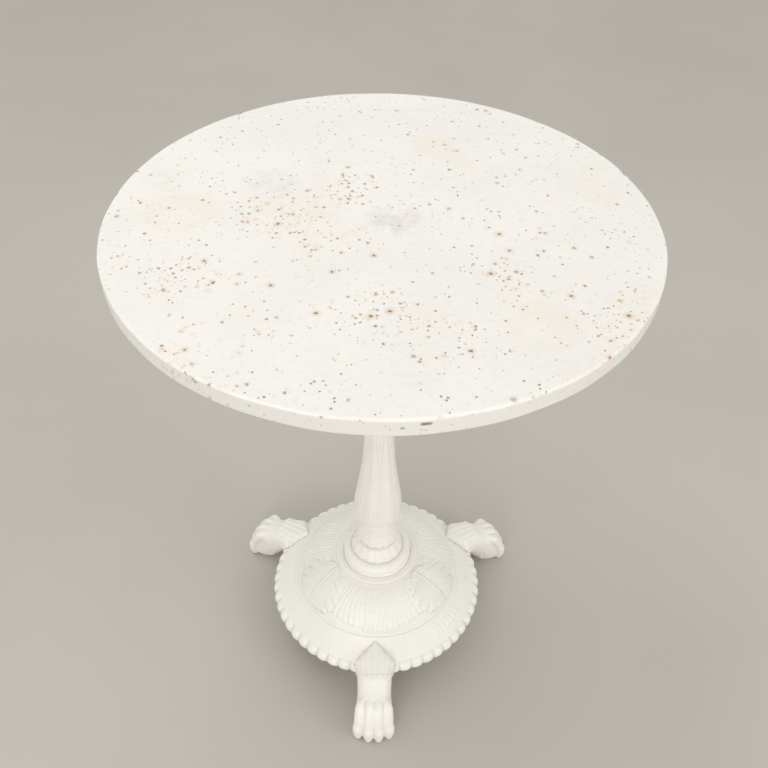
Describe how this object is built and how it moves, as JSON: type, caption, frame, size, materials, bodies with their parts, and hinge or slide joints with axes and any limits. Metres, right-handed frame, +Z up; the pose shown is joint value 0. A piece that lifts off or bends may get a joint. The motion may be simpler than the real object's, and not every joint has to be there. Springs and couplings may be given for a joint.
{
  "type": "bistro table",
  "caption": "Round marble-topped bistro table on a white cast-iron pedestal: leaf baluster, torus socle, domed scalloped dish and lion-paw feet.",
  "frame": {"origin": "on the floor, under the middle of the round top", "axes": "+Z up along the column; the front foot points along -Y"},
  "size_m": [0.6, 0.6, 0.73],
  "materials": {
    "marble": "honed white marble with faint grey veins, rust pits and small edge chips",
    "painted_cast_iron": "thick warm-white satin paint over cast relief, grey in the recesses",
    "zinc_steel": "dull zinc plate",
    "brass": "plain machined",
    "felt": "pressed grey felt"
  },
  "bodies": {
    "root": {"marble_top": "marble", "top_spider": "painted_cast_iron", "column_shaft": "painted_cast_iron", "leaf_collar": "painted_cast_iron", "socle": "painted_cast_iron", "base_dish": "painted_cast_iron", "paw_foot_1": "painted_cast_iron", "paw_foot_2": "painted_cast_iron", "paw_foot_3": "painted_cast_iron", "spider_pad_1": "felt", "spider_pad_2": "felt", "spider_pad_3": "felt", "spider_pad_4": "felt", "top_insert_1": "brass", "top_insert_2": "brass", "top_insert_3": "brass", "top_insert_4": "brass", "top_washer_1": "zinc_steel", "top_washer_2": "zinc_steel", "top_washer_3": "zinc_steel", "top_washer_4": "zinc_steel", "top_screw_1": "zinc_steel", "top_screw_2": "zinc_steel", "top_screw_3": "zinc_steel", "top_screw_4": "zinc_steel", "foot_washer_1": "zinc_steel", "foot_washer_2": "zinc_steel", "foot_washer_3": "zinc_steel", "foot_washer_4": "zinc_steel", "foot_washer_5": "zinc_steel", "foot_washer_6": "zinc_steel", "foot_bolt_1": "zinc_steel", "foot_bolt_2": "zinc_steel", "foot_bolt_3": "zinc_steel", "foot_bolt_4": "zinc_steel", "foot_bolt_5": "zinc_steel", "foot_bolt_6": "zinc_steel", "tie_rod": "zinc_steel", "rod_washer_top": "zinc_steel", "rod_nut_top": "zinc_steel", "rod_washer_bottom": "zinc_steel", "rod_nut_bottom": "zinc_steel"}
  },
  "joints": []
}
